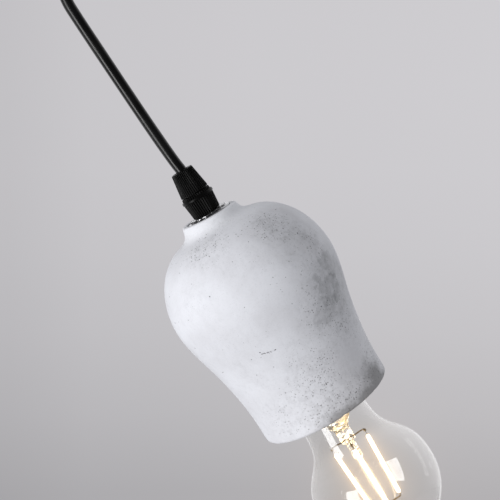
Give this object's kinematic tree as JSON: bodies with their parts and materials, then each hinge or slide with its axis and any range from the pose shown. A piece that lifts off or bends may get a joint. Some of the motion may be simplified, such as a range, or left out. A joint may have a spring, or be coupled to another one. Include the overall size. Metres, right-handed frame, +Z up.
{
  "type": "pendant ceiling light",
  "caption": "Small pendant ceiling light: tulip-shaped cast concrete shade with ribbed cord grip, straight black cord, ceiling canopy and clear screw-in filament bulb.",
  "frame": {"origin": "middle of the ceiling bracket's upper face, on the ceiling", "axes": "+Z up out of the ceiling face, the lamp hangs along -Z; +X along the bracket's slots, to the right in the front view; +Y away from the viewer"},
  "size_m": [0.0948, 0.09, 0.3521],
  "materials": {
    "concrete": "matte",
    "black_nylon": "satin",
    "black_cord": "gloss",
    "black_paint": "satin",
    "black_resin": "satin",
    "white_nylon": "satin",
    "white_ceramic": "matte",
    "zinc_steel": "satin",
    "bright_steel": "polished",
    "nickel_cap": "satin",
    "brass": "satin",
    "clear_glass": "polished",
    "warm_filament": "matte"
  },
  "bodies": {
    "ceiling": {"ceiling_bracket": "zinc_steel", "canopy_cup": "black_paint", "canopy_screw_left": "zinc_steel", "canopy_screw_right": "zinc_steel", "terminal_block": "white_nylon", "terminal_screws": "brass", "canopy_tube": "zinc_steel", "canopy_nut": "zinc_steel", "canopy_grip_base": "black_nylon", "canopy_cord_end": "black_cord"},
    "canopy_collet": {"canopy_grip_collet": "black_nylon"},
    "canopy_grip_nut": {"canopy_grip_nut": "black_nylon"},
    "cord": {"cord": "black_cord"},
    "lamp": {"lamp_grip_base": "black_nylon", "tooth_washer": "bright_steel", "seat_washer": "bright_steel", "concrete_shade": "concrete", "lamp_tube": "zinc_steel", "inner_washer": "zinc_steel", "lamp_nut": "zinc_steel", "holder_cap": "black_resin", "holder_skirt": "black_resin", "holder_core": "white_ceramic", "holder_terminals": "brass", "holder_screw_shell": "brass", "holder_contact": "brass", "lamp_cord_end": "black_cord"},
    "lamp_collet": {"lamp_grip_collet": "black_nylon"},
    "lamp_grip_nut": {"lamp_grip_nut": "black_nylon"},
    "bulb_tip": {"bulb_contact": "brass"},
    "bulb": {"bulb_insulator": "black_resin", "bulb_cap": "nickel_cap", "bulb_glass": "clear_glass", "bulb_stem": "clear_glass", "filament_1": "warm_filament", "filament_2": "warm_filament", "filament_3": "warm_filament", "filament_4": "warm_filament", "filament_leads": "bright_steel", "filament_spider": "bright_steel"}
  },
  "joints": [
    {"name": "cord_swing", "type": "hinge", "parent": "ceiling", "child": "cord", "pos_m": [0, 0, -0.05185], "axis": [0, 1, 0], "range_deg": [-35, 35]},
    {"name": "lamp_tilt", "type": "hinge", "parent": "cord", "child": "lamp", "pos_m": [0, 0, -0.14685], "axis": [0, 1, 0], "range_deg": [-20, 20]},
    {"name": "lamp_collet_lift", "type": "slide", "parent": "lamp", "child": "lamp_collet", "axis": [0, 0, 1], "range_m": [0, 0.00225]},
    {"name": "lamp_nut_turn", "type": "hinge", "parent": "lamp_collet", "child": "lamp_grip_nut", "pos_m": [0, 0, -0.14985], "axis": [0, 0, 1], "range_deg": [0, 545]},
    {"name": "canopy_collet_lift", "type": "slide", "parent": "ceiling", "child": "canopy_collet", "axis": [0, 0, -1], "range_m": [0, 0.00225]},
    {"name": "canopy_nut_turn", "type": "hinge", "parent": "canopy_collet", "child": "canopy_grip_nut", "pos_m": [0, 0, -0.04885], "axis": [0, 0, -1], "range_deg": [0, 545]},
    {"name": "bulb_advance", "type": "slide", "parent": "lamp", "child": "bulb_tip", "axis": [0, 0, -1], "range_m": [0, 0.0181]},
    {"name": "bulb_turn", "type": "hinge", "parent": "bulb_tip", "child": "bulb", "pos_m": [0, 0, -0.2461], "axis": [0, 0, -1], "range_deg": [0, 1815]}
  ],
  "couplings": [
    {"joint": "lamp_nut_turn", "follows": "lamp_collet_lift", "rad_per_m": 4188.8},
    {"joint": "canopy_nut_turn", "follows": "canopy_collet_lift", "rad_per_m": 4188.8},
    {"joint": "bulb_turn", "follows": "bulb_advance", "rad_per_m": 1735.7}
  ]
}
